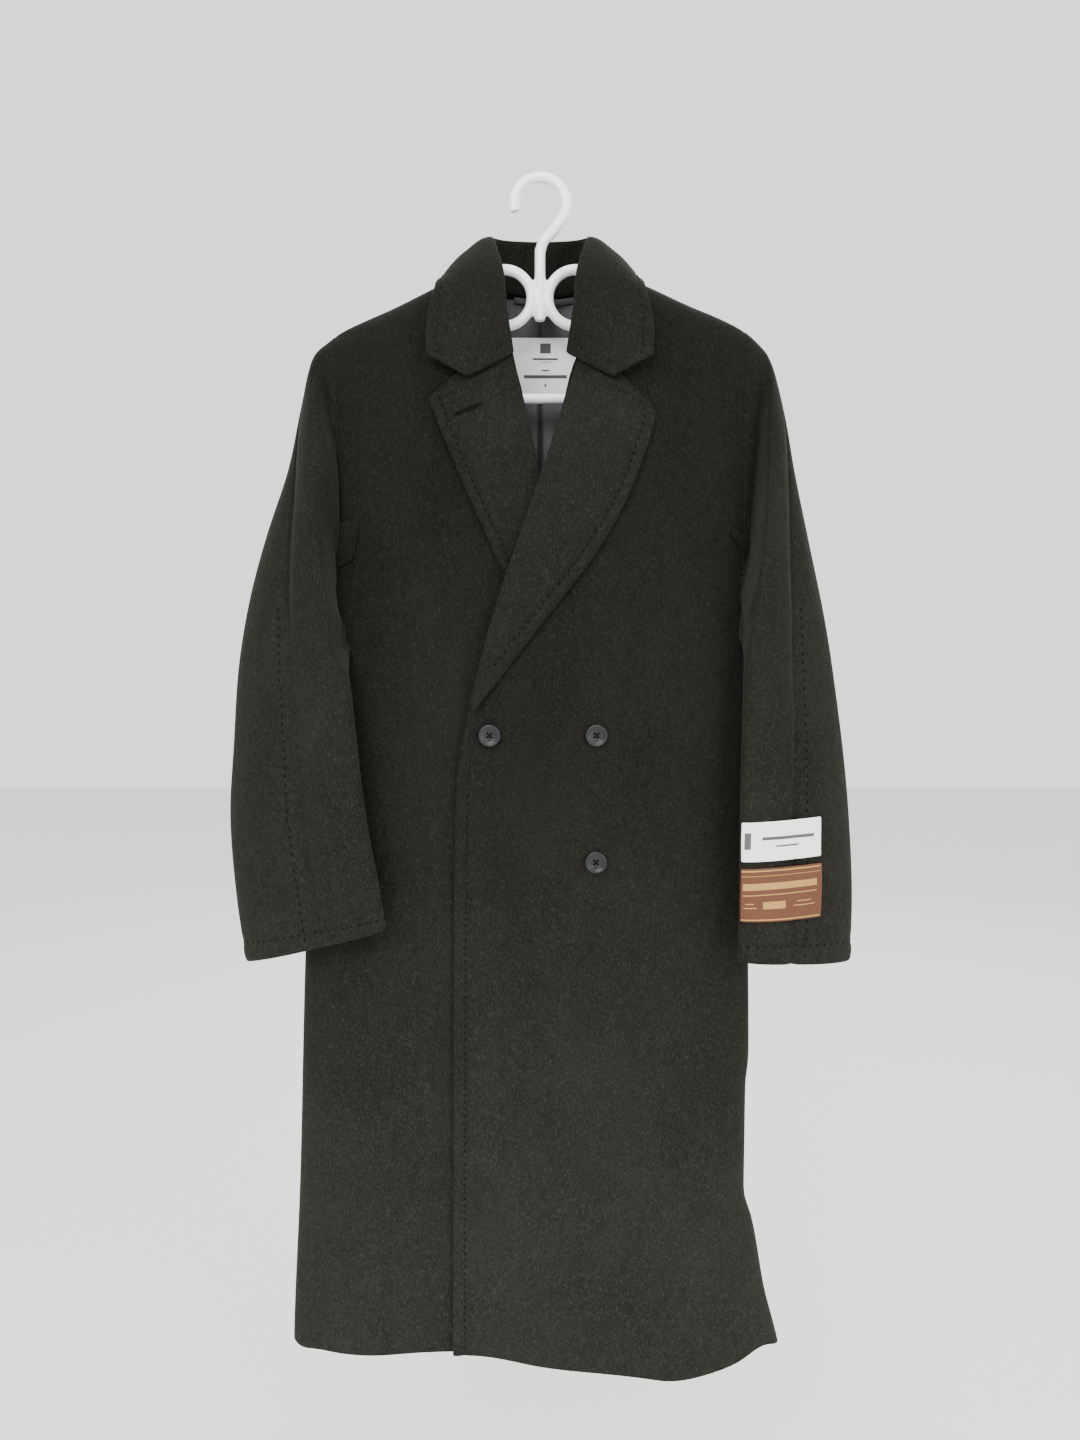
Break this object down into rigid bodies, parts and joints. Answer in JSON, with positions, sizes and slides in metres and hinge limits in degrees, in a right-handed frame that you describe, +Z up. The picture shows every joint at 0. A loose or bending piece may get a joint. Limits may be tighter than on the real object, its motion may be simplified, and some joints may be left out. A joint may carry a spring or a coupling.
{
  "type": "wool overcoat on a hanger",
  "caption": "Long wool overcoat with crossed fronts, notched lapels, dropped-shoulder sleeves and satin lining, hanging on a tubular plastic hanger.",
  "frame": {"origin": "inner crown of the hanger's hook, where it rests on a peg or rail", "axes": "+Z up, +X towards the wearer's left (the viewer's right), the front of the coat faces -Y"},
  "size_m": [0.664, 0.1408, 1.2882],
  "materials": {
    "wool": "brushed olive-charcoal wool coating with a soft nap",
    "lining": "dark grey satin lining",
    "thread": "grey sewing thread, wound into a shank",
    "button": "near-black button with a polished rim and a matte dish",
    "white_label": null,
    "brown_label": null,
    "hanger_plastic": "white glossy moulded plastic"
  },
  "bodies": {
    "hanger": {"hanger": "hanger_plastic"},
    "sleeve_right": {"sleeve_right_front": "wool", "sleeve_right_back": "wool", "sleeve_right_lining": "lining"},
    "sleeve_left": {"sleeve_left_front": "wool", "sleeve_left_back": "wool", "sleeve_left_lining": "lining", "sleeve_label_upper": "white_label", "sleeve_label_lower": "brown_label"},
    "skirt": {"outer_front_skirt": "wool", "outer_front_facing_skirt": "wool", "outer_front_lining_skirt": "lining"},
    "coat": {"back_panel_left": "wool", "back_panel_right": "wool", "back_neck_facing": "wool", "under_front": "wool", "under_front_facing": "wool", "outer_front": "wool", "outer_front_facing": "wool", "outer_lapel": "wool", "under_lapel": "wool", "collar_leaf": "wool", "collar_stand": "wool", "back_lining_left": "lining", "back_lining_right": "lining", "under_front_lining": "lining", "outer_front_lining": "lining", "hanging_loop": "lining", "button_closing_thread": "thread", "button_upper_thread": "thread", "button_lower_thread": "thread", "button_closing": "button", "button_upper": "button", "button_lower": "button", "neck_label": "white_label"}
  },
  "joints": [
    {"name": "coat_lift", "type": "slide", "parent": "hanger", "child": "coat", "axis": [0, 0, 1], "range_m": [0, 0.3]},
    {"name": "right_sleeve_swing", "type": "hinge", "parent": "coat", "child": "sleeve_right", "pos_m": [-0.2132, 0, -0.1615], "axis": [0, 1, 0], "range_deg": [0, 50]},
    {"name": "left_sleeve_swing", "type": "hinge", "parent": "coat", "child": "sleeve_left", "pos_m": [0.2132, 0, -0.1615], "axis": [0, -1, 0], "range_deg": [0, 50]},
    {"name": "outer_front_fold_back", "type": "hinge", "parent": "coat", "child": "skirt", "pos_m": [-0.09, -0.0545, -0.6], "axis": [-0.271, 0, 0.9626], "range_deg": [0, 70]}
  ]
}
